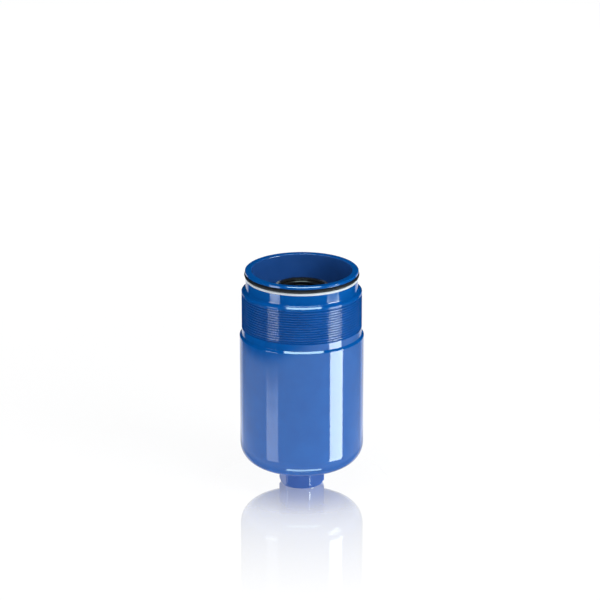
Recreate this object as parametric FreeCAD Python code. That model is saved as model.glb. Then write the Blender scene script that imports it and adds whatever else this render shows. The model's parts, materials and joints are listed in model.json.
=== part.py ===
import FreeCAD, Part
import math
import os

# Bowl of a high pressure hydraulic filter, with the filter element and its bypass valve.
# Millimetres, +Z up. The origin is the centre of the hex's bottom face.

# Bowl, lengths from the bottom to the rim
hex_length = 18.0
body_length = 100.7
bead_slope_length = 4.5
bead_length = 4.8
bead_crown_length = 1.0  # the slanting part of the bead, under the smooth band
band_length = 4.6
thread_length = 28.1
plain_lead_length = 2.0  # from the thread to the shoulder, with the chamfer
collar_length = 8.8
rim_length = 2.2
bottom_thickness = 10.5

# Bowl, across
hex_across_flats = 32.0
hex_chamfer_step = 2.1  # how far the corners are cut back at the end face
hex_chamfer_length = 3.2
thread_diameter = 95.0
thread_wall = 8.0  # from the bore to the thread's crest
body_step = 1.5  # the body stands out this far past the thread's crest
bead_rise = 0.2
band_step = 0.1  # the smooth band lies this far below the crest
shoulder_step = 3.2
rim_rise = 0.45  # the rim stands out past the collar
groove_depth = 1.9

# Bowl, rounds
bottom_round = 17.5
bottom_inner_round = 12.0
bead_round = 2.2
thread_chamfer = 1.2  # leads the thread in, at the shoulder's edge
rim_round = 0.4
mouth_round = 0.9
collar_foot_round = 0.3  # in the corner between the collar and the shoulder

# Seals of the bowl
bowl_ring_section = 3.0
backup_thickness = 1.9
backup_play = 0.05
backup_recess = 0.25  # the back-up ring's edge lies this far inside the rim's
backup_cut_gap = 0.3
backup_cut_angle = 30.0
groove_play = 0.3
ring_flat = 0.1  # how far a ring is pressed flat on the bottom of its groove

# Element
oil_gap = 5.5  # between the bowl's bore and the end caps
collar_recess = 13.3  # from the rim down to the element's collar
foot_length = 6.0
foot_width = 3.0
foot_count = 6
foot_inset = 0.5
cap_thickness = 3.0
base_thickness = 4.0
cap_skirt_length = 7.0
cap_skirt_wall = 1.2
cap_round = 1.2
element_collar_length = 12.0
element_collar_wall = 3.6  # outside the groove of the spigot's ring
spigot_bore_diameter = 31.6
spigot_ring_section = 3.0
spigot_ring_stand = 0.2  # the ring stands into the bore
lead_in_width = 1.7
lead_in_length = 0.8
lip_length = 0.6
lip_cover = 1.3  # the lip covers this much of the ring
core_diameter = 40.0
core_wall = 1.2
core_play = 0.2
slot_width = 3.4
slot_length = 10.0
slot_land = 5.0  # wall left between two rows of slots
slots_around = 10
media_thickness = 1.1
media_play = 0.3
pleat_count = 36
pleat_tip = 1.3  # width of the mat's middle line across a fold
pleat_round = 1.0

# Bypass valve
seat_bore_diameter = 16.0
seat_wall = 5.0
seat_flange = 2.4
seat_flange_thickness = 1.5
seat_play = 0.05
seat_lip_inset = 0.6
seat_lip_width = 1.0
seat_lip_height = 1.0
poppet_overlap = 1.6  # past the seat's lip
poppet_thickness = 3.3
poppet_round = 0.5
seal_thickness = 1.5
seal_stand = 0.2
seal_margin = 0.6
seal_inner_margin = 1.2
cage_play = 1.4
cage_sheet = 1.0
cage_round = 3.0
cage_foot_round = 1.0
window_width = 14.0
window_foot = 2.0
window_head = 3.5
spring_wire = 1.8
spring_mean_diameter = 12.4
spring_space = 14.5
spring_turns = 5.5
spring_boss_play = 0.3
spring_boss_height = 1.5
stem_diameter = 5.0
stem_play = 0.2
clip_lift = 0.5
clip_thickness = 0.8
clip_depth = 0.5
clip_rim = 1.8
clip_gap_angle = 70.0
stem_end = 1.5
stem_chamfer = 0.5

# Heights that follow
body_top = hex_length + body_length
bead_low = body_top + bead_slope_length
bead_top = bead_low + bead_length
thread_low = bead_top + band_length
thread_top = thread_low + thread_length
shoulder_top = thread_top + plain_lead_length
groove_low = shoulder_top + collar_length
groove_top = groove_low + backup_thickness + bowl_ring_section + groove_play
rim_top = groove_top + rim_length
floor_z = hex_length + bottom_thickness

base_low = floor_z + foot_length
base_top = base_low + base_thickness
element_top = rim_top - collar_recess
cap_top = element_top - element_collar_length
cap_low = cap_top - cap_thickness
ring_groove_top = element_top - lead_in_length - lip_length
ring_groove_low = ring_groove_top - spigot_ring_section - groove_play

seat_face = base_top + seat_lip_height
poppet_low = seat_face + seal_stand
poppet_top = poppet_low + poppet_thickness
cage_low = poppet_top + spring_space
cage_top = cage_low + cage_sheet
clip_low = cage_top + clip_lift
clip_top = clip_low + clip_thickness
stem_top = clip_top + stem_end

# Radii that follow
thread_radius = thread_diameter / 2
bore_radius = thread_radius - thread_wall
body_radius = thread_radius + body_step
bead_radius = body_radius + bead_rise
band_radius = thread_radius - band_step
collar_radius = thread_radius - shoulder_step
rim_radius = collar_radius + rim_rise
groove_radius = collar_radius - groove_depth

cap_radius = bore_radius - oil_gap
skirt_inner_radius = cap_radius - cap_skirt_wall
spigot_radius = spigot_bore_diameter / 2
ring_inner_radius = spigot_radius - spigot_ring_stand
ring_middle_radius = ring_inner_radius + spigot_ring_section / 2
ring_groove_radius = ring_inner_radius + spigot_ring_section - ring_flat
lip_radius = ring_inner_radius + spigot_ring_section - lip_cover
lead_in_radius = lip_radius + lead_in_width
element_collar_radius = ring_groove_radius + element_collar_wall
core_radius = core_diameter / 2
core_inner_radius = core_radius - core_wall
media_outer_radius = skirt_inner_radius - media_play
media_inner_radius = core_radius + media_play

seat_bore_radius = seat_bore_diameter / 2
seat_radius = seat_bore_radius + seat_wall
seat_flange_radius = seat_radius + seat_flange
seat_lip_inner = seat_bore_radius + seat_lip_inset
seat_lip_outer = seat_lip_inner + seat_lip_width
poppet_radius = seat_lip_outer + poppet_overlap
seal_outer_radius = poppet_radius - seal_margin
seal_inner_radius = seat_lip_inner - seal_inner_margin
cage_inner_radius = poppet_radius + cage_play
stem_radius = stem_diameter / 2
stem_hole_radius = stem_radius + stem_play
spring_radius = spring_mean_diameter / 2
spring_boss_radius = spring_radius - spring_wire / 2 - spring_boss_play
clip_groove_radius = stem_radius - clip_depth
clip_radius = stem_radius + clip_rim

UP = FreeCAD.Vector(0, 0, 1)
ORIGIN = FreeCAD.Vector(0, 0, 0)


def corner_arc(before, corner, after, radius, back_share, ahead_share):
    """Ends and middle of the tangent arc at a corner, limited to its share of each side."""
    back = before - corner
    ahead = after - corner
    half = back.getAngle(ahead) / 2
    reach = min(radius / math.tan(half), back_share * back.Length, ahead_share * ahead.Length)
    radius = reach * math.tan(half)
    back.normalize()
    ahead.normalize()
    middle = back + ahead
    middle.normalize()
    middle_reach = radius / math.sin(half) - radius
    return corner + back * reach, corner + middle * middle_reach, corner + ahead * reach


def rounded_wire(corners):
    """Closed wire through corners given as (vector, radius)."""
    edges = []
    points = []
    for index, (corner, radius) in enumerate(corners):
        before, before_radius = corners[index - 1]
        after, after_radius = corners[(index + 1) % len(corners)]
        if radius > 0:
            back_share = radius / (radius + before_radius)
            ahead_share = radius / (radius + after_radius)
            start, middle, end = corner_arc(before, corner, after, radius, back_share, ahead_share)
            points.append((start, end))
            edges.append(Part.Arc(start, middle, end).toShape())
        else:
            points.append((corner, corner))
            edges.append(None)
    joined = []
    for index, edge in enumerate(edges):
        if edge:
            joined.append(edge)
        start = points[index][1]
        end = points[(index + 1) % len(points)][0]
        if start.distanceToPoint(end) > 1e-6:
            joined.append(Part.LineSegment(start, end).toShape())
    return Part.Wire(joined)


def turned(*corners):
    """Solid of revolution about Z from corners given as (radius, height) or (radius, height, round)."""
    outline = [(FreeCAD.Vector(c[0], 0, c[1]), c[2] if len(c) > 2 else 0) for c in corners]
    return Part.Face(rounded_wire(outline)).revolve(ORIGIN, UP, 360)


def ring_round(section, centre_radius, centre_height):
    """Whole torus of an O-ring."""
    centre = FreeCAD.Vector(0, 0, centre_height)
    return Part.makeTorus(centre_radius, section / 2, centre, UP)


def polar(radius, angle, height=0.0):
    return FreeCAD.Vector(radius * math.cos(angle), radius * math.sin(angle), height)


def wrench_hex():
    """Hex prism with its corners cut back by a turned chamfer, corners on the X axis."""
    corner_radius = hex_across_flats / math.sqrt(3)
    corners = [polar(corner_radius, side * math.pi / 3) for side in range(6)]
    prism = Part.Face(Part.makePolygon(corners + corners[:1])).extrude(UP * hex_length)
    envelope = turned(
        (0, 0),
        (corner_radius - hex_chamfer_step, 0),
        (corner_radius, hex_chamfer_length),
        (corner_radius, hex_length),
        (0, hex_length),
    )
    return prism.common(envelope)


def filter_bowl():
    shell = turned(
        (0, hex_length),
        (body_radius, hex_length, bottom_round),
        (body_radius, body_top),
        (bead_radius, bead_low),
        (bead_radius, bead_top - bead_crown_length, bead_round),
        (band_radius, bead_top),
        (band_radius, thread_low),
        (thread_radius, thread_low),
        (thread_radius, shoulder_top - thread_chamfer),
        (thread_radius - thread_chamfer, shoulder_top),
        (collar_radius, shoulder_top, collar_foot_round),
        (collar_radius, groove_low),
        (groove_radius, groove_low),
        (groove_radius, groove_top),
        (rim_radius, groove_top),
        (rim_radius, rim_top, rim_round),
        (bore_radius, rim_top, mouth_round),
        (bore_radius, floor_z, bottom_inner_round),
        (0, floor_z),
    )
    return shell.fuse(wrench_hex()).removeSplitter()


def bowl_o_ring():
    centre_radius = groove_radius + bowl_ring_section / 2 - ring_flat
    centre_height = groove_top - groove_play / 2 - bowl_ring_section / 2
    ring = ring_round(bowl_ring_section, centre_radius, centre_height)
    core = Part.makeCylinder(groove_radius, rim_top)
    return ring.cut(core)


def backup_ring():
    """Square ring with a slanting cut, so that it can be laid into its groove."""
    outer_radius = rim_radius - backup_recess
    inner_radius = groove_radius + backup_play
    top = groove_low + backup_thickness
    ring = turned((inner_radius, groove_low), (outer_radius, groove_low), (outer_radius, top), (inner_radius, top))
    reach = 2 * backup_thickness / math.tan(math.radians(backup_cut_angle))
    slit = Part.makeBox(reach, 2 * groove_depth + rim_radius, backup_cut_gap)
    slit.translate(FreeCAD.Vector(-reach / 2, 0, -backup_cut_gap / 2))
    slit.rotate(ORIGIN, FreeCAD.Vector(0, 1, 0), -backup_cut_angle)
    slit.translate(FreeCAD.Vector(0, 0, groove_low + backup_thickness / 2))
    return ring.cut(slit)


def element_top_cap():
    return turned(
        (spigot_radius, cap_low - cap_thickness),
        (core_inner_radius - core_play, cap_low - cap_thickness),
        (core_inner_radius - core_play, cap_low),
        (skirt_inner_radius, cap_low),
        (skirt_inner_radius, cap_low - cap_skirt_length),
        (cap_radius, cap_low - cap_skirt_length),
        (cap_radius, cap_top, cap_round),
        (element_collar_radius, cap_top, cap_round),
        (element_collar_radius, element_top, cap_round),
        (lead_in_radius, element_top),
        (lip_radius, element_top - lead_in_length),
        (lip_radius, ring_groove_top),
        (ring_groove_radius, ring_groove_top),
        (ring_groove_radius, ring_groove_low),
        (spigot_radius, ring_groove_low),
    )


def spigot_o_ring():
    centre_height = (ring_groove_top + ring_groove_low) / 2
    ring = ring_round(spigot_ring_section, ring_middle_radius, centre_height)
    groove = Part.makeCylinder(ring_groove_radius, element_top)
    return ring.common(groove)


def core_tube():
    """Slotted tube from the cage's flange to the top cap, every second row turned by half a step."""
    low = base_top + cage_sheet
    length = cap_low - low
    tube = Part.makeCylinder(core_radius, length, FreeCAD.Vector(0, 0, low))
    tube = tube.cut(Part.makeCylinder(core_inner_radius, length, FreeCAD.Vector(0, 0, low)))
    pitch = slot_length + slot_land
    rows = int((length - slot_land) / pitch)
    margin = (length - rows * pitch + slot_land) / 2
    slots = []
    for row in range(rows):
        for place in range(slots_around):
            slot = Part.makeBox(core_radius, slot_width, slot_length)
            slot.translate(FreeCAD.Vector(core_inner_radius / 2, -slot_width / 2, low + margin + row * pitch))
            slot.rotate(ORIGIN, UP, (place + row % 2 / 2) * 360 / slots_around)
            slots.append(slot)
    return tube.cut(Part.makeCompound(slots))


def pleat_boundary(inner_radius, outer_radius, inner_half, outer_half, inner_round, outer_round):
    """Star-shaped wire with one outer and one inner fold for each pleat."""
    corners = []
    for pleat in range(pleat_count):
        top = 2 * math.pi * pleat / pleat_count
        foot = top + math.pi / pleat_count
        corners.append((polar(outer_radius, top - outer_half / outer_radius), outer_round))
        corners.append((polar(outer_radius, top + outer_half / outer_radius), outer_round))
        corners.append((polar(inner_radius, foot - inner_half / inner_radius), inner_round))
        corners.append((polar(inner_radius, foot + inner_half / inner_radius), inner_round))
    return rounded_wire(corners)


def pleated_media():
    """One mat folded into a star: its outer face and its inner face lie one thickness apart."""
    wide = (pleat_tip + media_thickness) / 2
    narrow = (pleat_tip - media_thickness) / 2
    outside = pleat_boundary(
        media_inner_radius + media_thickness, media_outer_radius, narrow, wide, 0, pleat_round
    )
    inside = pleat_boundary(
        media_inner_radius, media_outer_radius - media_thickness, wide, narrow, pleat_round, 0
    )
    section = Part.Face(outside).cut(Part.Face(inside))
    pack = section.extrude(UP * (cap_low - base_top))
    pack.translate(UP * base_top)
    return pack.Solids[0]


def element_bottom_cap():
    disc = turned(
        (seat_radius + seat_play, base_low),
        (cap_radius, base_low, cap_round),
        (cap_radius, base_top + cap_skirt_length),
        (skirt_inner_radius, base_top + cap_skirt_length),
        (skirt_inner_radius, base_top),
        (seat_flange_radius + seat_play, base_top),
        (seat_flange_radius + seat_play, base_top - seat_flange_thickness),
        (seat_radius + seat_play, base_top - seat_flange_thickness),
    )
    outer_end = bore_radius - bottom_inner_round - foot_inset
    inner_end = seat_flange_radius + foot_inset
    feet = []
    for place in range(foot_count):
        foot = Part.makeBox(outer_end - inner_end, foot_width, foot_length + base_thickness / 4)
        foot.translate(FreeCAD.Vector(inner_end, -foot_width / 2, floor_z))
        foot.rotate(ORIGIN, UP, place * 360 / foot_count)
        feet.append(foot)
    return disc.fuse(feet).removeSplitter()


def valve_seat():
    """Turned ring with a flange in the cap's recess and a raised sealing lip."""
    return turned(
        (seat_bore_radius, base_low),
        (seat_radius, base_low),
        (seat_radius, base_top - seat_flange_thickness),
        (seat_flange_radius, base_top - seat_flange_thickness),
        (seat_flange_radius, base_top),
        (seat_lip_outer + seat_lip_height, base_top),
        (seat_lip_outer, seat_face),
        (seat_lip_inner, seat_face),
        (seat_bore_radius, seat_face - seat_lip_inset),
    )


def valve_cage():
    """Pressed bell with four windows, held by its flange under the core tube."""
    outer_radius = cage_inner_radius + cage_sheet
    bell = turned(
        (cage_inner_radius, base_top, cage_foot_round + cage_sheet),
        (core_radius, base_top),
        (core_radius, base_top + cage_sheet),
        (outer_radius, base_top + cage_sheet, cage_foot_round),
        (outer_radius, cage_top, cage_round),
        (stem_hole_radius, cage_top),
        (stem_hole_radius, cage_low),
        (cage_inner_radius, cage_low, cage_round - cage_sheet),
    )
    window_low = base_top + cage_sheet + window_foot
    height = cage_low - window_head - window_low
    window = Part.makeBox(2 * core_radius, window_width, height)
    window.translate(FreeCAD.Vector(-core_radius, -window_width / 2, window_low))
    across = window.copy()
    across.rotate(ORIGIN, UP, 90)
    return bell.cut([window, across])


def bypass_poppet():
    """Turned poppet with the seal's recess below, the spring's boss above and a grooved stem."""
    recess_top = seat_face + seal_thickness
    return turned(
        (0, poppet_low),
        (seal_inner_radius, poppet_low),
        (seal_inner_radius, recess_top),
        (seal_outer_radius, recess_top),
        (seal_outer_radius, poppet_low),
        (poppet_radius, poppet_low),
        (poppet_radius, poppet_top, poppet_round),
        (spring_boss_radius, poppet_top),
        (spring_boss_radius, poppet_top + spring_boss_height, poppet_round),
        (stem_radius, poppet_top + spring_boss_height),
        (stem_radius, clip_low),
        (clip_groove_radius, clip_low),
        (clip_groove_radius, clip_top),
        (stem_radius, clip_top),
        (stem_radius, stem_top - stem_chamfer),
        (stem_radius - stem_chamfer, stem_top),
        (0, stem_top),
    )


def poppet_seal():
    top = seat_face + seal_thickness
    return turned(
        (seal_inner_radius, seat_face),
        (seal_outer_radius, seat_face),
        (seal_outer_radius, top),
        (seal_inner_radius, top),
    )


def bypass_spring():
    """Spring of square wire with ground ends, between the poppet and the cage."""
    pitch = spring_space / (spring_turns - 1)
    height = spring_turns * pitch
    path = Part.makeHelix(pitch, height, spring_radius)
    half = spring_wire / 2
    corners = [(-half, -half), (half, -half), (half, half), (-half, half), (-half, -half)]
    section = Part.makePolygon([FreeCAD.Vector(spring_radius + x, 0, z) for x, z in corners])
    coil = Part.Wire(path).makePipeShell([section], True, True)
    coil.translate(UP * (poppet_top - pitch / 2))
    space = Part.makeCylinder(2 * spring_radius, spring_space, UP * poppet_top)
    return coil.common(space).Solids[0]


def stem_clip():
    """Open ring in the stem's groove above the cage."""
    ring = turned(
        (clip_groove_radius, clip_low), (clip_radius, clip_low), (clip_radius, clip_top), (clip_groove_radius, clip_top)
    )
    half = math.radians(clip_gap_angle) / 2
    reach = 2 * clip_radius
    corners = [ORIGIN, polar(reach, -half), polar(reach, half), ORIGIN]
    gap = Part.Face(Part.makePolygon(corners)).extrude(UP * stem_top)
    return ring.cut(gap)


pieces = (
    filter_bowl,
    bowl_o_ring,
    backup_ring,
    element_top_cap,
    spigot_o_ring,
    core_tube,
    pleated_media,
    element_bottom_cap,
    valve_seat,
    valve_cage,
    bypass_poppet,
    poppet_seal,
    bypass_spring,
    stem_clip,
)

os.makedirs("parts", exist_ok=True)
for piece in pieces:
    shape = piece()
    shape.exportStep(f"parts/{piece.__name__}.step")
    print(piece.__name__, len(shape.Solids), "solid", round(shape.Volume / 1000, 2), "cm3")
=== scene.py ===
import json
import math

import bmesh
import bpy
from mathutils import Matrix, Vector


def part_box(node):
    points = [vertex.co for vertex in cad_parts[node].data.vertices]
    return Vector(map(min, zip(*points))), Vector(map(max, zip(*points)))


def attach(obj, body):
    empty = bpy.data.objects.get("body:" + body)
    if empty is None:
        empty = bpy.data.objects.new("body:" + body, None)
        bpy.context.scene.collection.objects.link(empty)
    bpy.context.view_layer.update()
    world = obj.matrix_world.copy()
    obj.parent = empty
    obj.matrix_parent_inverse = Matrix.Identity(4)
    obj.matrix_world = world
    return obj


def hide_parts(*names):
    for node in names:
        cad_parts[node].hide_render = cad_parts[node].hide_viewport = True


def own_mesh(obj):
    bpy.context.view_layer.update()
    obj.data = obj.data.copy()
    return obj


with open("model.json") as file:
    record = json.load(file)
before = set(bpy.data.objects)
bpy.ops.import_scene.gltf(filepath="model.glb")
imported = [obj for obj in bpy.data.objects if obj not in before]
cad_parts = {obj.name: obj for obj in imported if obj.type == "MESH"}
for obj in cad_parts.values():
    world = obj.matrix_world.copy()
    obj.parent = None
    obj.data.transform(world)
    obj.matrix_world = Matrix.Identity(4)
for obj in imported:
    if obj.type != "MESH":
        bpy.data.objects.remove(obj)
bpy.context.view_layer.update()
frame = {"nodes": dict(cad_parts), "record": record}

mm = 0.001
micron = 1e-6
fullTurn = 2 * math.pi
mounts = {mount["name"]: mount for mount in frame["record"]["mounts"]}
print("frame loaded:", len(frame["nodes"]), "pieces")


# Sizes that the frame gives, in mm

def heights(node):
    low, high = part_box(node)
    return low.z / mm, high.z / mm


def wallOf(mountName):
    mount = mounts[mountName]
    middle = mount["pos_m"][2] / mm
    half = mount["dims"]["length_mm"] / 2
    return mount["dims"]["r_mm"], middle - half, middle + half


# Mesh making

guard = 0.12  # mm between the end of a long straight and its extra point
mergeDistance = 2e-7
angleSlack = 1e-6


def roundedOutline(corners, stepDegrees=9):
    # corners are (radius, height) or (radius, height, round); the ends of the line stay sharp
    points = []
    for index, corner in enumerate(corners):
        here = Vector(corner[:2])
        roundSize = corner[2] if len(corner) > 2 else 0
        if not roundSize or index in (0, len(corners) - 1):
            points.append((here.x, here.y))
            continue
        back = (Vector(corners[index - 1][:2]) - here).normalized()
        ahead = (Vector(corners[index + 1][:2]) - here).normalized()
        half = back.angle(ahead) / 2
        centre = here + (back + ahead).normalized() * roundSize / math.sin(half)
        start = here + back * roundSize / math.tan(half) - centre
        sweep = here + ahead * roundSize / math.tan(half) - centre
        turn = math.atan2(start.cross(sweep), start.dot(sweep))
        steps = max(2, round(abs(math.degrees(turn)) / stepDegrees))
        for step in range(steps + 1):
            angle = turn * step / steps
            cosine, sine = math.cos(angle), math.sin(angle)
            points.append((centre.x + start.x * cosine - start.y * sine,
                           centre.y + start.x * sine + start.y * cosine))
    return guarded(points)


def guarded(points, longInGuards=6):
    # a point close to each end of a long straight keeps the rounds' shading off the rest of the wall
    kept = points[:1]
    for start, end in zip(points, points[1:]):
        along = Vector(end) - Vector(start)
        if along.length > longInGuards * guard:
            short = along.normalized() * guard
            for near in (Vector(start) + short, Vector(end) - short):
                kept.append((near.x, near.y))
        kept.append(end)
    return kept


def finishMesh(name, vertices, faces, sharpDegrees=32):
    mesh = bpy.data.meshes.new(name)
    mesh.from_pydata([Vector(v) * mm for v in vertices], [], faces)
    work = bmesh.new()
    work.from_mesh(mesh)
    bmesh.ops.remove_doubles(work, verts=work.verts, dist=mergeDistance)
    bmesh.ops.recalc_face_normals(work, faces=work.faces)
    for face in work.faces:
        face.smooth = True
    for edge in work.edges:
        edge.smooth = edge.calc_face_angle(0) < math.radians(sharpDegrees)
    work.to_mesh(mesh)
    work.free()
    piece = bpy.data.objects.new(name, mesh)
    bpy.context.scene.collection.objects.link(piece)
    return piece


def spin(name, rows, columns, loop=False, sharpDegrees=32):
    # a row is (radius, height), or a function of the angle that gives (radius, height)
    # or (radius, height, turn)
    vertices = []
    for row in rows:
        for angle in columns:
            place = row(angle) if callable(row) else row
            turned = angle + (place[2] if len(place) > 2 else 0)
            vertices.append((place[0] * math.cos(turned), place[0] * math.sin(turned), place[1]))
    wide = len(columns)
    faces = []
    for low in range(len(rows) if loop else len(rows) - 1):
        high = (low + 1) % len(rows)
        for column in range(wide - 1):
            faces.append((low * wide + column, low * wide + column + 1,
                          high * wide + column + 1, high * wide + column))
    if loop and columns[-1] - columns[0] < fullTurn - angleSlack:
        faces.append([row * wide for row in range(len(rows))])
        faces.append([row * wide + wide - 1 for row in range(len(rows))])
    return finishMesh(name, vertices, faces, sharpDegrees)


def evenColumns(count):
    return [fullTurn * index / count for index in range(count + 1)]


# Materials

toneLevels = (0.3, 0.7)  # levels of the noise that show a pure dark and a pure pale tone


def linearColour(hexText):
    parts = [int(hexText[start:start + 2], 16) / 255 for start in (1, 3, 5)]
    return tuple(p / 12.92 if p <= 0.04045 else ((p + 0.055) / 1.055) ** 2.4 for p in parts) + (1.0,)


def addNode(tree, kind, links=None, tones=(), **settings):
    # tones are the two ends of a colour ramp
    node = tree.nodes.new(kind)
    for name, value in settings.items():
        setattr(node, name, value)
    for index, tone in enumerate(tones):
        node.color_ramp.elements[index].position = toneLevels[index]
        node.color_ramp.elements[index].color = linearColour(tone)
    for socket, value in (links or {}).items():
        if isinstance(value, bpy.types.NodeSocket):
            tree.links.new(value, node.inputs[socket])
        else:
            node.inputs[socket].default_value = value
    return node


def newMaterial(name):
    material = bpy.data.materials.new(name)
    material.use_nodes = True
    tree = material.node_tree
    tree.nodes.clear()
    shader = addNode(tree, "ShaderNodeBsdfPrincipled")
    addNode(tree, "ShaderNodeOutputMaterial", {"Surface": shader.outputs["BSDF"]})
    where = addNode(tree, "ShaderNodeTexCoord").outputs["Object"]
    return material, tree, shader, where


enamelLook = dict(
    # dark and pale tone
    # the inside tones are painted shade in the bore; the hex tones are painted light on the hex
    outsideTones=("#0453A2", "#0759A9"), insideShadeTones=("#24539C", "#2858A3"), hexLightTones=("#4570BC", "#4974C2"),
    cloudMm=14.0, peelMm=1.8, peelMicrons=0.6, dustMm=0.35, roughness=(0.05, 0.09), ior=1.52,
    # where in mm a change starts and ends, and its values there
    outsideBore=(39.6, 40.4, 0.0, 1.0), belowBore=(20.0, 28.0, 1.0, 0.0), onHex=(17.9, 18.2, 1.0, 0.0),
)


def glossEnamel():
    # baked gloss enamel, sprayed: deep even blue, sharp highlights, faint orange peel
    material, tree, shader, where = newMaterial("glossEnamel")
    look = enamelLook
    clouds, peel, dust = (
        addNode(tree, "ShaderNodeTexNoise",
                {"Vector": where, "Scale": 1 / (look[size] * mm), "Detail": detail}).outputs["Fac"]
        for size, detail in (("cloudMm", 3.0), ("peelMm", 1.0), ("dustMm", 2.0)))
    bump = addNode(tree, "ShaderNodeBump",
                   {"Height": peel, "Distance": look["peelMicrons"] * micron, "Strength": 1.0})
    outside, inside, onHex = (
        addNode(tree, "ShaderNodeValToRGB", {"Fac": clouds}, look[tones]).outputs["Color"]
        for tones in ("outsideTones", "insideShadeTones", "hexLightTones"))
    flat = addNode(tree, "ShaderNodeVectorMath", {0: where, 1: (1, 1, 0)}, operation="MULTIPLY").outputs[0]
    radius = addNode(tree, "ShaderNodeVectorMath", {0: flat}, operation="LENGTH").outputs["Value"]
    height = addNode(tree, "ShaderNodeSeparateXYZ", {"Vector": where}).outputs["Z"]
    shares = {}
    for name, value in (("outsideBore", radius), ("belowBore", height), ("onHex", height)):
        start, end, low, high = look[name]
        shares[name] = addNode(tree, "ShaderNodeMapRange", {
            "Value": value, "From Min": start * mm, "From Max": end * mm, "To Min": low, "To Max": high,
        }).outputs["Result"]
    # the inside and the hex have painted tones of their own: the inside's greyer, slightly darker blue is
    # painted shade in the bore, and the paler hex is painted light that makes up for the shade that the table
    # has round the foot
    share = addNode(tree, "ShaderNodeMath", {0: shares["outsideBore"], 1: shares["belowBore"]},
                    operation="MAXIMUM").outputs["Value"]
    colour = addNode(tree, "ShaderNodeMix", {"Factor": share, 6: inside, 7: outside},
                     data_type="RGBA").outputs[2]
    colour = addNode(tree, "ShaderNodeMix", {"Factor": shares["onHex"], 6: colour, 7: onHex},
                     data_type="RGBA").outputs[2]
    low, high = look["roughness"]
    rough = addNode(tree, "ShaderNodeMapRange", {"Value": dust, "To Min": low, "To Max": high})
    tree.links.new(colour, shader.inputs["Base Color"])
    tree.links.new(rough.outputs["Result"], shader.inputs["Roughness"])
    tree.links.new(bump.outputs["Normal"], shader.inputs["Normal"])
    shader.inputs["IOR"].default_value = look["ior"]
    return material


def mouldedPlain(name, darkHex, paleHex, grainMm, grainMicrons, roughness, ior):
    # one recipe for moulded, turned or felted pieces: a fine grain breaks up the colour, gloss and surface
    material, tree, shader, where = newMaterial(name)
    grain = addNode(tree, "ShaderNodeTexNoise", {"Vector": where, "Scale": 1 / (grainMm * mm), "Detail": 4.0})
    bump = addNode(tree, "ShaderNodeBump", {"Height": grain.outputs["Fac"], "Distance": grainMicrons * micron,
                                            "Strength": 1.0})
    colour = addNode(tree, "ShaderNodeValToRGB", {"Fac": grain.outputs["Fac"]}, (darkHex, paleHex))
    rough = addNode(tree, "ShaderNodeMapRange",
                    {"Value": grain.outputs["Fac"], "To Min": roughness[0], "To Max": roughness[1]})
    tree.links.new(colour.outputs["Color"], shader.inputs["Base Color"])
    tree.links.new(rough.outputs["Result"], shader.inputs["Roughness"])
    tree.links.new(bump.outputs["Normal"], shader.inputs["Normal"])
    shader.inputs["IOR"].default_value = ior
    return material


def turnedMetal(name, darkHex, paleHex, lineMm, roughness, lineMicrons=2.0):
    # turned or drawn metal: fine rings round the axis stretch the highlight
    material, tree, shader, where = newMaterial(name)
    split = addNode(tree, "ShaderNodeSeparateXYZ", {"Vector": where})
    radius = addNode(tree, "ShaderNodeVectorMath", {0: where, 1: (1, 1, 0)}, operation="MULTIPLY")
    radius = addNode(tree, "ShaderNodeVectorMath", {0: radius.outputs["Vector"]}, operation="LENGTH")
    across = addNode(tree, "ShaderNodeMath", {0: radius.outputs["Value"], 1: split.outputs["Z"]},
                     operation="ADD")
    lines = addNode(tree, "ShaderNodeTexNoise", {"W": across.outputs["Value"], "Scale": 1 / (lineMm * mm),
                                                 "Detail": 3.0}, noise_dimensions="1D")
    bump = addNode(tree, "ShaderNodeBump", {"Height": lines.outputs["Fac"], "Distance": lineMicrons * micron,
                                            "Strength": 1.0})
    colour = addNode(tree, "ShaderNodeValToRGB", {"Fac": lines.outputs["Fac"]}, (darkHex, paleHex))
    rough = addNode(tree, "ShaderNodeMapRange",
                    {"Value": lines.outputs["Fac"], "To Min": roughness[0], "To Max": roughness[1]})
    tree.links.new(colour.outputs["Color"], shader.inputs["Base Color"])
    tree.links.new(rough.outputs["Result"], shader.inputs["Roughness"])
    tree.links.new(bump.outputs["Normal"], shader.inputs["Normal"])
    shader.inputs["Metallic"].default_value = 1.0
    return material


paint = glossEnamel()
# dark and pale tone, width of the grain in mm, its height in microns, roughness, index of refraction
rubber = mouldedPlain("mouldedNitrile", "#14171B", "#1F2328", 0.25, 3.0, (0.62, 0.78), 1.52)
ptfe = mouldedPlain("turnedPtfe", "#D0D8DF", "#E0E7ED", 0.6, 2.0, (0.35, 0.5), 1.38)
nylon = mouldedPlain("glassFilledNylon", "#131415", "#232527", 0.5, 2.0, (0.22, 0.3), 1.53)
# the oil gives the ring in the collar a fine bright line
oiledRubber = mouldedPlain("oiledRubber", "#131415", "#1E2022", 0.5, 2.0, (0.25, 0.33), 1.52)
mat = mouldedPlain("glassFibreMat", "#BDB9AC", "#DAD7CC", 0.4, 30.0, (0.8, 0.95), 1.5)
# dark and pale tone, width of the rings in mm, roughness
zincSheet = turnedMetal("zincPlatedSheet", "#9B9FA3", "#C3C7CA", 0.3, (0.3, 0.45))
turnedSteel = turnedMetal("turnedSteel", "#A5A6A8", "#CFD0D2", 0.12, (0.18, 0.3))
springSteel = turnedMetal("drawnSpringWire", "#5E6063", "#8A8D90", 0.2, (0.25, 0.38))
print("materials made")


def coat(piece, material):
    piece.data.materials.clear()
    piece.data.materials.append(material)


def dress(piece, material, body, slot, *replaced):
    coat(piece, material)
    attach(piece, body)
    if replaced:
        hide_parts(*replaced)
    return piece


# Bowl

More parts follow.
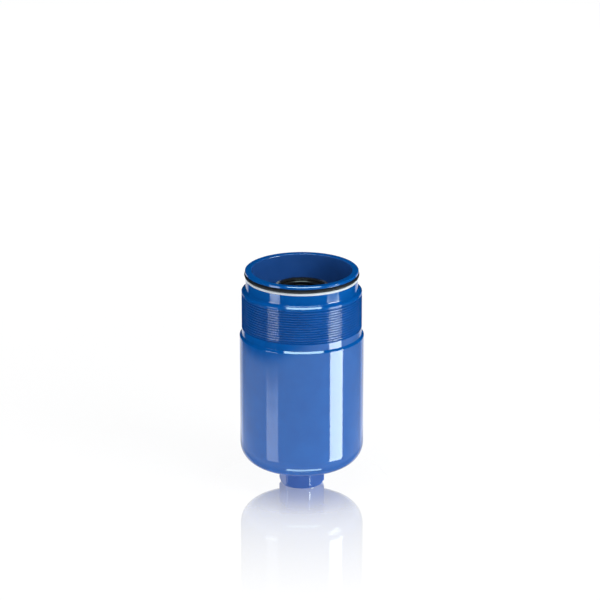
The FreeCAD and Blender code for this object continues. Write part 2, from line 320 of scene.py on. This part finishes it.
bowl = dict(
    hexAcross=32.0, hexHeight=18.0, hexCornerRound=1.9, hexChamferStep=2.1, hexChamferHeight=3.2,
    hexFootRound=0.2, hexRootRound=0.6, undersideStart=24.0, bodyRadius=49.0, bodyTop=85.0, bodyTopRound=6,
    bottomRound=17.5, beadRadius=49.2, beadDrop=1.2, beadCrown=1.55, beadRound=0.8, bandRadius=47.4,
    bandLength=5.4, bandEase=0.2, threadFootEase=0.04, shoulderStep=2.0, threadChamfer=1.2,
    collarFootRound=1.7, collarRadius=44.3, grooveRadius=42.4, grooveOver=0.15, grooveEase=0.3,
    grooveLipEase=0.25, edgeEase=0.15, rimRadius=44.75, rimChamfer=0.6, mouthRound=0.9, boreRadius=39.5,
    bottomThickness=10.5, floorRound=12.0, columns=288, cornerSpread=(0.6, 1.2, 1.8, 2.4, 3.0, 3.25),
    sharpDegrees=24,
)
thread = dict(pitch=2.0, depth=1.227, crestShare=1 / 8, rootShare=1 / 4, runOut=0.8, start=1.6,
              crestEase=0.05, rootEase=0.04)


def hexRadius(angle):
    # distance of the hex's wall from the axis, with its upright corners slightly rounded
    fromCorner = (angle + math.pi / 6) % (math.pi / 3) - math.pi / 6
    cornerRadius = bowl["hexAcross"] / math.sqrt(3)
    centre = cornerRadius - bowl["hexCornerRound"] / math.sin(math.pi / 3)
    edge = math.atan2(bowl["hexCornerRound"] * math.sin(math.pi / 6),
                      centre + bowl["hexCornerRound"] * math.cos(math.pi / 6))
    if abs(fromCorner) < edge:
        offset = centre * math.sin(fromCorner)
        return centre * math.cos(fromCorner) + math.sqrt(bowl["hexCornerRound"] ** 2 - offset ** 2)
    return bowl["hexAcross"] / 2 / math.cos(abs(fromCorner) - math.pi / 6)


def bowlColumns():
    angles = set(evenColumns(bowl["columns"]))
    for corner in range(7):
        for spread in bowl["cornerSpread"]:
            for side in (-1, 1):
                angle = corner * math.pi / 3 + side * math.radians(spread)
                if 0 < angle < fullTurn:
                    angles.add(angle)
    return sorted(angles)


def hexRows(roundMiddle=0.3):
    # the middle of a round lies at this share of its size from both of its walls
    foot = bowl["hexFootRound"]
    root = bowl["hexRootRound"]
    footRadius = bowl["hexAcross"] / math.sqrt(3) - bowl["hexChamferStep"]
    rise = bowl["hexChamferHeight"] / bowl["hexChamferStep"]

    def base(angle):
        return min(hexRadius(angle), footRadius)

    def crease(angle):
        return hexRadius(angle), max(foot, foot + (hexRadius(angle) - footRadius) * rise)

    return [
        (0, 0),
        lambda angle: (base(angle) / 2, 0),
        lambda angle: (base(angle) - foot, 0),
        lambda angle: (base(angle) - foot * roundMiddle, foot * roundMiddle),
        lambda angle: (base(angle), foot),
        crease,
        lambda angle: (hexRadius(angle), crease(angle)[1] + guard),
        lambda angle: (hexRadius(angle), bowl["hexHeight"] - root - guard),
        lambda angle: (hexRadius(angle), bowl["hexHeight"] - root),
        lambda angle: (hexRadius(angle) + root * roundMiddle, bowl["hexHeight"] - root * roundMiddle),
        lambda angle: (hexRadius(angle) + root, bowl["hexHeight"]),
    ]


def threadRow(turn, phase, share, ease, radius, low, high):
    def row(angle):
        height = low + thread["pitch"] * (turn + phase - 1 + angle / fullTurn)
        height = min(high, max(low, height))
        fade = min(1, (height - low) / thread["runOut"], (high - height) / thread["start"])
        return radius - (share * thread["depth"] + ease) * fade, height
    return row


def threadRows(radius, low, high):
    # metric 60 degree form: crest and root as shares of the pitch, their corners eased by the paint
    crest, root = thread["crestEase"], thread["rootEase"]
    crestEnd = thread["crestShare"]
    rootStart = (1 + crestEnd - thread["rootShare"]) / 2
    rootEnd = rootStart + thread["rootShare"]
    form = [(0, 0, crest), (crestEnd / 2, 0, 0), (crestEnd, 0, crest),
            (rootStart, 1, -root), ((rootStart + rootEnd) / 2, 1, 0), (rootEnd, 1, -root)]
    turns = math.ceil((high - low) / thread["pitch"]) + 1
    return [threadRow(turn, *step, radius, low, high) for turn in range(turns) for step in form]


def makeBowl():
    radius, wallLow, high = wallOf("head_thread")
    beadTop = wallLow - bowl["beadDrop"]
    low = beadTop + bowl["bandLength"]
    shoulderTop = high + bowl["shoulderStep"]
    rimTop = heights("filter_bowl")[1]
    grooveLow = heights("backup_ring")[0]
    grooveTop = heights("bowl_o_ring")[1] + bowl["grooveOver"]
    ease, grooveEase = bowl["edgeEase"], bowl["grooveEase"]
    floorHeight = bowl["hexHeight"] + bowl["bottomThickness"]
    below = roundedOutline([
        (bowl["undersideStart"], bowl["hexHeight"]),
        (bowl["bodyRadius"], bowl["hexHeight"], bowl["bottomRound"]),
        (bowl["bodyRadius"], bowl["bodyTop"], bowl["bodyTopRound"]),
        (bowl["beadRadius"], beadTop - bowl["beadCrown"], bowl["beadRound"]),
        (bowl["bandRadius"], beadTop, bowl["bandEase"]),
        (bowl["bandRadius"], low, bowl["threadFootEase"]),
        (radius, low),
    ], stepDegrees=6)
    above = roundedOutline([
        (radius, high),
        (radius, shoulderTop - bowl["threadChamfer"], ease),
        (radius - bowl["threadChamfer"], shoulderTop, ease),
        (bowl["collarRadius"], shoulderTop, bowl["collarFootRound"]),
        (bowl["collarRadius"], grooveLow, ease),
        (bowl["grooveRadius"], grooveLow, grooveEase),
        (bowl["grooveRadius"], grooveTop, grooveEase),
        (bowl["rimRadius"], grooveTop, bowl["grooveLipEase"]),
        (bowl["rimRadius"], rimTop - bowl["rimChamfer"], ease),
        (bowl["rimRadius"] - bowl["rimChamfer"], rimTop, ease),
        (bowl["boreRadius"], rimTop, bowl["mouthRound"]),
        (bowl["boreRadius"], floorHeight, bowl["floorRound"]),
        (0, floorHeight),
    ])
    rows = hexRows() + below + threadRows(radius, low, high) + above
    return spin("filterBowl", rows, bowlColumns(), sharpDegrees=bowl["sharpDegrees"])


dress(makeBowl(), paint, "bowl_and_element", "painted_steel", "filter_bowl")
print("bowl made")


# Seals

rings = dict(section=3.0, sectionSteps=40, columns=240, flashHeight=0.05, pressed=0.1, spigotStand=0.2,
             freeLimit=1.0, sharpDegrees=60)


def ringRows(centreRadius, centreHeight, innerLimit, outerLimit):
    # round section with the mould's parting line on its two edges, flat where it is pressed on its groove
    rows = []
    half = rings["section"] / 2
    for step in range(rings["sectionSteps"]):
        angle = fullTurn * step / rings["sectionSteps"]
        reach = half
        if step in (0, rings["sectionSteps"] // 2):
            reach += rings["flashHeight"]
        radius = centreRadius + reach * math.cos(angle)
        rows.append((min(outerLimit, max(innerLimit, radius)), centreHeight + half * math.sin(angle)))
    return rows


def makeBowlRing():
    low, high = heights("bowl_o_ring")
    outer = bowl["grooveRadius"] + rings["section"] - rings["pressed"]
    rows = ringRows(outer - rings["section"] / 2, (low + high) / 2,
                    bowl["grooveRadius"], outer + rings["freeLimit"])
    return spin("bowlORing", rows, evenColumns(rings["columns"]), True, rings["sharpDegrees"])


def makeSpigotRing():
    low, high = heights("spigot_o_ring")
    radius = wallOf("spigot_bore")[0]
    inner = radius - rings["spigotStand"]
    rows = ringRows(inner + rings["section"] / 2, (low + high) / 2,
                    inner - rings["freeLimit"], inner + rings["section"] - rings["pressed"])
    return spin("spigotORing", rows, evenColumns(rings["columns"]), True, rings["sharpDegrees"])


backup = dict(innerPlay=0.05, outerPlay=0.25, edge=0.3, scarfDegrees=30.0, scarfGap=0.3, scarfAtDegrees=90.0,
              columns=240)


def makeBackupRing():
    low, high = heights("backup_ring")
    edge = backup["edge"]
    inner = bowl["grooveRadius"] + backup["innerPlay"]
    outer = bowl["rimRadius"] - backup["outerPlay"]
    middle = (low + high) / 2
    outline = roundedOutline([
        (inner, middle), (inner, low, edge), (outer, low, edge), (outer, high, edge), (inner, high, edge),
        (inner, middle),
    ], stepDegrees=30)[:-1]
    slope = 1 / math.tan(math.radians(backup["scarfDegrees"]))

    def slanted(radius, height):
        return lambda angle: (radius, height, (height - middle) * slope / outer)

    gap = backup["scarfGap"] / math.sin(math.radians(backup["scarfDegrees"])) / outer
    start = math.radians(backup["scarfAtDegrees"]) + gap / 2
    columns = [start + (fullTurn - gap) * index / backup["columns"] for index in range(backup["columns"] + 1)]
    return spin("backupRing", [slanted(*point) for point in outline], columns, loop=True)


dress(makeBowlRing(), rubber, "bowl_and_element", "rubber", "bowl_o_ring")
dress(makeSpigotRing(), oiledRubber, "bowl_and_element", "rubber", "spigot_o_ring")
dress(makeBackupRing(), ptfe, "bowl_and_element", "ptfe", "backup_ring")
print("seals made")


# Filter element

cap = dict(radius=34.0, thickness=3.0, skirt=7.0, skirtWall=1.2, edgeRound=1.2, ease=0.25,
           collarRadius=22.1, sleeveRadius=18.6, sleeve=3.0, leadInRadius=19.0, lipRadius=17.3, leadIn=0.8,
           lip=0.6, grooveRadius=18.5, columns=240)


def makeTopCap():
    bore, low, high = wallOf("spigot_bore")
    top = heights("element_top_cap")[1]
    under = low + cap["sleeve"]
    disc = under + cap["thickness"]
    middle = (low + high) / 2
    ease = cap["ease"]
    outline = roundedOutline([
        (bore, middle),
        (bore, low, ease),
        (cap["sleeveRadius"], low, ease),
        (cap["sleeveRadius"], under, ease),
        (cap["radius"] - cap["skirtWall"], under, ease),
        (cap["radius"] - cap["skirtWall"], under - cap["skirt"], ease),
        (cap["radius"], under - cap["skirt"], ease),
        (cap["radius"], disc, cap["edgeRound"]),
        (cap["collarRadius"], disc, cap["edgeRound"]),
        (cap["collarRadius"], top, cap["edgeRound"]),
        (cap["leadInRadius"], top, ease),
        (cap["lipRadius"], top - cap["leadIn"], ease / 2),
        (cap["lipRadius"], top - cap["leadIn"] - cap["lip"], ease / 2),
        (cap["grooveRadius"], top - cap["leadIn"] - cap["lip"]),
        (cap["grooveRadius"], high),
        (bore, high, ease),
        (bore, middle),
    ], stepDegrees=15)[:-1]
    return spin("elementTopCap", outline, evenColumns(cap["columns"]), loop=True)


pleats = dict(count=36, thickness=1.1, tipHalf=0.65, outerRadius=32.5, innerRadius=20.3, foldSteps=8,
              rows=10, sharpDegrees=50)


def foldLine():
    # middle line of the mat: a half round at each fold, joined by straight flanks
    points = []
    half = pleats["tipHalf"]
    outer = pleats["outerRadius"] - pleats["thickness"] / 2 - half
    inner = pleats["innerRadius"] + pleats["thickness"] / 2 + half
    for fold in range(2 * pleats["count"]):
        axis = math.pi * fold / pleats["count"]
        centre, sign = (outer, 1) if fold % 2 == 0 else (inner, -1)
        for step in range(pleats["foldSteps"] + 1):
            angle = math.pi * (step / pleats["foldSteps"] - 0.5)
            along, aside = centre + sign * half * math.cos(angle), half * math.sin(angle)
            points.append(Vector((along * math.cos(axis) - aside * math.sin(axis),
                                  along * math.sin(axis) + aside * math.cos(axis))))
    return points


def makePleats():
    low, high = heights("pleated_media")
    line = foldLine()
    count = len(line)
    shift = []
    for index, point in enumerate(line):
        along = (line[(index + 1) % count] - line[index - 1]).normalized()
        shift.append(Vector((along.y, -along.x)) * pleats["thickness"] / 2)
    vertices, faces = [], []
    levels = [low + (high - low) * row / pleats["rows"] for row in range(pleats["rows"] + 1)]
    loops = [(1, z) for z in levels] + [(-1, z) for z in reversed(levels)]
    for side, height in loops:
        for point, aside in zip(line, shift):
            place = point + aside * side
            vertices.append((place.x, place.y, height))
    for loopIndex in range(len(loops)):
        following = (loopIndex + 1) % len(loops)
        for index in range(count):
            ahead = (index + 1) % count
            faces.append((loopIndex * count + index, loopIndex * count + ahead,
                          following * count + ahead, following * count + index))
    return finishMesh("pleatedMedia", vertices, faces, pleats["sharpDegrees"])


spring = dict(wire=1.8, meanRadius=6.2, turns=5.5, sides=20, stepsPerTurn=48, lift=3.5, sharpDegrees=50)


def makeSpring():
    # round wire with flat ends: what passes a seat is pressed onto it, so the first 80 degrees of each
    # end turn have no thickness left
    low, high = heights("bypass_spring")
    pitch = (high - low) / (spring["turns"] - 1)
    steps = round(spring["turns"] * spring["stepsPerTurn"])
    vertices, faces = [], []
    for step in range(steps + 1):
        angle = fullTurn * step / spring["stepsPerTurn"]
        height = low - pitch / 2 + pitch * step / spring["stepsPerTurn"]
        for side in range(spring["sides"]):
            turn = fullTurn * side / spring["sides"]
            radius = spring["meanRadius"] + spring["wire"] / 2 * math.cos(turn)
            level = min(high, max(low, height + spring["wire"] / 2 * math.sin(turn)))
            vertices.append((radius * math.cos(angle), radius * math.sin(angle), level))
    wide = spring["sides"]
    for step in range(steps):
        for side in range(wide):
            ahead = (side + 1) % wide
            faces.append((step * wide + side, step * wide + ahead,
                          (step + 1) * wide + ahead, (step + 1) * wide + side))
    faces.append(list(range(wide)))
    faces.append([steps * wide + side for side in range(wide)])
    return finishMesh("bypassSpring", vertices, faces, spring["sharpDegrees"])


dress(makeTopCap(), nylon, "bowl_and_element", "black_nylon", "element_top_cap")
dress(makePleats(), mat, "bowl_and_element", "media", "pleated_media")
coil = dress(makeSpring(), springSteel, "bowl_and_element", "spring_steel", "bypass_spring")
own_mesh(coil)

finishes = {
    "core_tube": zincSheet, "element_bottom_cap": nylon, "valve_seat": turnedSteel, "valve_cage": zincSheet,
    "bypass_poppet": turnedSteel, "poppet_seal": rubber, "stem_clip": springSteel,
}
for nodeName, material in finishes.items():
    coat(frame["nodes"][nodeName], material)
print("element and valve made")


# Studio

table = dict(
    size=40.0, matt="#F4F5F6", mattShare=0.2, white=0.86, glossTint="#F3F8FF", glossMirror=0.5,
    # distance from the foot in metres, and the mirror's share there
    mirrorFade=((0.0, 0.80), (0.03, 0.68), (0.055, 0.50), (0.082, 0.27), (0.10, 0.215), (0.145, 0.13),
                (0.20, 0.06), (0.25, 0.015), (0.27, 0.0)),
    # the table's glow in gloss and for scattered light is painted light, weaker round the foot as a painted
    # shadow of the object
    # where in metres a change starts and ends, and its values there
    farLift=(0.25, 1.6, 0.18, 0.37), glossReach=(0.39, 0.44, 1.0, 0.0), glossAhead=(-0.25, 0.12, 0.45, 1.45),
    glossFootShade=(0.085, 0.115, 0.32, 1.0), bounceReach=(0.12, 0.4, 0.67, 0.0), footShade=(0.03, 0.11, 0.4, 1.0),
    # how far to the right glossReach has its centre, and how far behind glossFootShade has its own
    glossRight=0.06, glossBehind=0.05,
)
studio = dict(
    cameraAzimuth=10.6, cameraElevation=18.8, cameraDistance=3.0, aimHeight=0.15342, aimRight=-0.00139,
    fieldWidth=0.4732, clipEnd=100.0, worldDiffuse=0.27, worldGloss=0.0, lampAim=0.1,
    cardBehind=0.30, cardStep=0.002, cardHalfWidth=0.276, cardHeight=0.257, lowCardHeight=0.078,
    # azimuth from the camera, distance, height, width, depth, power and tint
    softLamps=dict(
        keyBox=(50.0, 1.6, 1.1, 1.0, 1.0, 16.7, "#FFFFFF"),
        fillBox=(-50.0, 1.7, 0.8, 1.0, 1.0, 2.1, "#FFFFFF"),
        topBox=(0.0, 0.35, 1.3, 0.75, 0.75, 5.9, "#FFFFFF"),
        leftLow=(-85.0, 1.4, 0.22, 0.8, 0.4, 3.3, "#FFFFFF"),
        rightLow=(85.0, 1.4, 0.22, 0.8, 0.4, 3.7, "#ECFFF6"),
    ),
    # upright lamps that only the bowl and the table mirror: tint, glow, azimuth, width, low and high edge
    stripDistance=1.0,
    strips=dict(
        rightStrip=("#F0FFFA", 27.0, 66.7, 0.488, 0.17, 0.60),
        rightFoot=("#D8FFFF", 2.5, 67.5, 0.40, 0.0, 0.165),
        leftStrip=("#F2F8FF", 5.6, -56.0, 0.42, 0.285, 0.60),
        leftEndHigh=("#F2F8FF", 4.1, -56.0, 0.42, 0.275, 0.285),
        leftEndMiddle=("#F2F8FF", 2.6, -56.0, 0.42, 0.265, 0.275),
        leftEndLow=("#F2F8FF", 1.2, -56.0, 0.42, 0.255, 0.265),
        leftFoot=("#EAF6FF", 15.0, -56.0, 0.40, 0.0, 0.165),
    ),
    frontBox=dict(tint="#DCFFFC", glow=14.5, ahead=0.37, right=0.07, height=1.55, width=1.14, depth=0.44),
)


def fromCamera(azimuth, distance, height):
    # a place round the object, its azimuth counted to the right from the camera
    turn = math.radians(studio["cameraAzimuth"] + azimuth)
    return Vector((math.sin(turn) * distance, -math.cos(turn) * distance, height))


def makeFloor():
    # white mirror table, whose mirror image fades with the distance from the foot; it has one look
    # for the camera, one in gloss and one for scattered light
    bpy.ops.mesh.primitive_grid_add(x_subdivisions=8, y_subdivisions=8, size=table["size"])
    floor = bpy.context.object
    floor.name = "floor"
    material = bpy.data.materials.new("whiteMirrorTable")
    material.use_nodes = True
    tree = material.node_tree
    tree.nodes.clear()
    path = addNode(tree, "ShaderNodeLightPath")
    where = addNode(tree, "ShaderNodeNewGeometry").outputs["Position"]
    distance = addNode(tree, "ShaderNodeVectorMath", {0: where}, operation="LENGTH").outputs["Value"]
    reach, behind = (
        addNode(tree, "ShaderNodeVectorMath", {0: where, 1: centre}, operation="DISTANCE").outputs["Value"]
        for centre in (fromCamera(90, table["glossRight"], 0), fromCamera(180, table["glossBehind"], 0)))
    ahead = addNode(tree, "ShaderNodeVectorMath", {0: where, 1: fromCamera(0, 1, 0)},
                    operation="DOT_PRODUCT").outputs["Value"]
    levels = {}
    for name, value in (("farLift", distance), ("glossReach", reach), ("glossAhead", ahead),
                        ("glossFootShade", behind), ("bounceReach", distance), ("footShade", distance)):
        start, end, low, high = table[name]
        levels[name] = addNode(tree, "ShaderNodeMapRange", {
            "Value": value, "From Min": start, "From Max": end, "To Min": low, "To Max": high,
        }, interpolation_type="SMOOTHSTEP").outputs["Result"]
    matt = addNode(tree, "ShaderNodeBsdfDiffuse", {"Color": linearColour(table["matt"])})

    # for the camera
    fade = addNode(tree, "ShaderNodeFloatCurve", {"Value": distance})
    points = fade.mapping.curves[0].points
    points[0].location = table["mirrorFade"][0]
    points[1].location = (1.0, 0.0)
    for reachAndShare in table["mirrorFade"][1:]:
        points.new(*reachAndShare)
    fade.mapping.update()
    glow = addNode(tree, "ShaderNodeEmission", {"Color": (1, 1, 1, 1), "Strength": table["white"]})
    shared = addNode(tree, "ShaderNodeMixShader", {"Fac": table["mattShare"], 1: glow.outputs[0],
                                                   2: matt.outputs[0]})
    lift = addNode(tree, "ShaderNodeEmission", {"Color": (1, 1, 1, 1), "Strength": levels["farLift"]})
    base = addNode(tree, "ShaderNodeAddShader", {0: shared.outputs[0], 1: lift.outputs[0]})
    mirror = addNode(tree, "ShaderNodeBsdfGlossy", {"Color": (1, 1, 1, 1), "Roughness": 0.0})
    seen = addNode(tree, "ShaderNodeMixShader", {"Fac": fade.outputs["Value"], 1: base.outputs[0],
                                                 2: mirror.outputs[0]})

    # in gloss the white is painted light that the bowl mirrors; it is weaker behind, which keeps the edges of
    # the body blue, and at the foot, a painted shadow, where the mirror shows the underside
    white = levels["glossReach"]
    for name in ("glossAhead", "glossFootShade"):
        white = addNode(tree, "ShaderNodeMath", {0: white, 1: levels[name]}, operation="MULTIPLY").outputs[0]
    glossGlow = addNode(tree, "ShaderNodeEmission", {"Color": linearColour(table["glossTint"]),
                                                     "Strength": white})
    glossMirror = addNode(tree, "ShaderNodeBsdfGlossy", {"Color": (table["glossMirror"],) * 3 + (1,),
                                                         "Roughness": 0.0})
    glossView = addNode(tree, "ShaderNodeAddShader", {0: glossGlow.outputs[0], 1: glossMirror.outputs[0]})

    # for scattered light it glows a little, a painted bounce light, and less round the foot, a painted shadow
    # of the object
    paintedBounce = addNode(tree, "ShaderNodeMath", {0: levels["bounceReach"], 1: levels["footShade"]},
                     operation="MULTIPLY")
    paintedBounce = addNode(tree, "ShaderNodeEmission", {"Color": (1, 1, 1, 1), "Strength": paintedBounce.outputs["Value"]})
    lit = addNode(tree, "ShaderNodeAddShader", {0: matt.outputs[0], 1: paintedBounce.outputs[0]})
    asGloss = addNode(tree, "ShaderNodeMixShader", {"Fac": path.outputs["Is Glossy Ray"], 1: lit.outputs[0],
                                                    2: glossView.outputs[0]})
    final = addNode(tree, "ShaderNodeMixShader", {"Fac": path.outputs["Is Camera Ray"], 1: asGloss.outputs[0],
                                                  2: seen.outputs[0]})
    addNode(tree, "ShaderNodeOutputMaterial", {"Surface": final.outputs[0]})
    floor.data.materials.append(material)


def makeCard(name, behind, high, only=None):
    # white card behind the object, seen only in gloss
    half = studio["cardHalfWidth"]
    corners = [fromCamera(180, behind, z) + fromCamera(90, x, 0)
               for x, z in ((-half, 0), (half, 0), (half, high), (-half, high))]
    mesh = bpy.data.meshes.new(name)
    mesh.from_pydata(corners, [], [(0, 1, 2, 3)])
    card = bpy.data.objects.new(name, mesh)
    bpy.context.scene.collection.objects.link(card)
    material = bpy.data.materials.new("whiteCard")
    material.use_nodes = True
    material.node_tree.nodes.clear()
    glow = addNode(material.node_tree, "ShaderNodeEmission", {"Color": (1, 1, 1, 1), "Strength": 1.0})
    addNode(material.node_tree, "ShaderNodeOutputMaterial", {"Surface": glow.outputs[0]})
    mesh.materials.append(material)
    for kind in ("camera", "diffuse", "transmission", "shadow", "volume_scatter"):
        setattr(card, "visible_" + kind, False)
    if only:
        card.light_linking.receiver_collection = only


def makeCards():
    # only the table mirrors the high card; the low one whitens the sides of the bowl
    onlyTable = bpy.data.collections.new("onlyTable")
    onlyTable.objects.link(bpy.data.objects["floor"])
    makeCard("highCard", studio["cardBehind"], studio["cardHeight"], onlyTable)
    makeCard("lowCard", studio["cardBehind"] - studio["cardStep"], studio["lowCardHeight"])


def makeWorld():
    # white to the camera, dim for scattered light and black in gloss
    world = bpy.data.worlds.new("studioAir")
    world.use_nodes = True
    bpy.context.scene.world = world
    tree = world.node_tree
    tree.nodes.clear()
    path = addNode(tree, "ShaderNodeLightPath")
    gloss = addNode(tree, "ShaderNodeMix", {"Factor": path.outputs["Is Glossy Ray"],
                                            2: studio["worldDiffuse"], 3: studio["worldGloss"]},
                    data_type="FLOAT")
    level = addNode(tree, "ShaderNodeMix", {"Factor": path.outputs["Is Camera Ray"],
                                            2: gloss.outputs[0], 3: 1.0}, data_type="FLOAT")
    air = addNode(tree, "ShaderNodeBackground", {"Color": (1, 1, 1, 1), "Strength": level.outputs[0]})
    addNode(tree, "ShaderNodeOutputWorld", {"Surface": air.outputs[0]})


def makeLamp(name, place, target, width, height, power, tint, gloss=False, diffuse=True, only=None):
    lamp = bpy.data.lights.new(name, "AREA")
    lamp.shape = "RECTANGLE"
    lamp.size, lamp.size_y = width, height
    lamp.energy = power
    lamp.color = linearColour(tint)[:3]
    holder = bpy.data.objects.new(name, lamp)
    bpy.context.scene.collection.objects.link(holder)
    holder.location = place
    holder.rotation_euler = (target - place).to_track_quat("-Z", "Y").to_euler()
    holder.visible_glossy = gloss
    holder.visible_diffuse = diffuse
    holder.visible_camera = False
    if only:
        holder.light_linking.receiver_collection = only
    return holder


def makeLights():
    # soft lamps that light all pieces, then lamps that are seen only in gloss
    middle = Vector((0, 0, studio["lampAim"]))
    enamelled = bpy.data.collections.new("enamelled")
    frontLit = bpy.data.collections.new("frontLit")
    for name in ("filterBowl", "floor"):
        enamelled.objects.link(bpy.data.objects[name])
    for name in ("filterBowl", "floor", "elementTopCap", "spigotORing"):
        frontLit.objects.link(bpy.data.objects[name])
    for name, (azimuth, distance, height, width, depth, power, tint) in studio["softLamps"].items():
        makeLamp(name, fromCamera(azimuth, distance, height), middle, width, depth, power, tint)
    for name, (tint, glow, azimuth, width, low, high) in studio["strips"].items():
        level = (low + high) / 2
        makeLamp(name, fromCamera(azimuth, studio["stripDistance"], level), fromCamera(azimuth, 0, level),
                 width, high - low, glow * math.pi * width * (high - low), tint, True, False, enamelled)
    box = studio["frontBox"]
    below = fromCamera(0, box["ahead"], 0) + fromCamera(90, box["right"], 0)
    holder = makeLamp("frontBox", below + Vector((0, 0, box["height"])), below, box["width"], box["depth"],
                      box["glow"] * math.pi * box["width"] * box["depth"], box["tint"], True, False, frontLit)
    holder.rotation_euler = (0, 0, math.radians(studio["cameraAzimuth"]))


def makeCamera():
    camera = bpy.data.objects.new("camera", bpy.data.cameras.new("camera"))
    bpy.context.scene.collection.objects.link(camera)
    azimuth, elevation = math.radians(studio["cameraAzimuth"]), math.radians(studio["cameraElevation"])
    away = Vector((math.sin(azimuth) * math.cos(elevation), -math.cos(azimuth) * math.cos(elevation),
                   math.sin(elevation)))
    right = Vector((math.cos(azimuth), math.sin(azimuth), 0))
    aim = Vector((0, 0, studio["aimHeight"])) + right * studio["aimRight"]
    camera.location = aim + away * studio["cameraDistance"]
    camera.rotation_euler = (-away).to_track_quat("-Z", "Y").to_euler()
    camera.data.lens = camera.data.sensor_width * studio["cameraDistance"] / studio["fieldWidth"]
    camera.data.clip_end = studio["clipEnd"]
    bpy.context.scene.camera = camera


makeFloor()
makeCards()
makeWorld()
makeLights()
makeCamera()
bpy.context.scene.view_settings.view_transform = "Standard"
print("studio made")
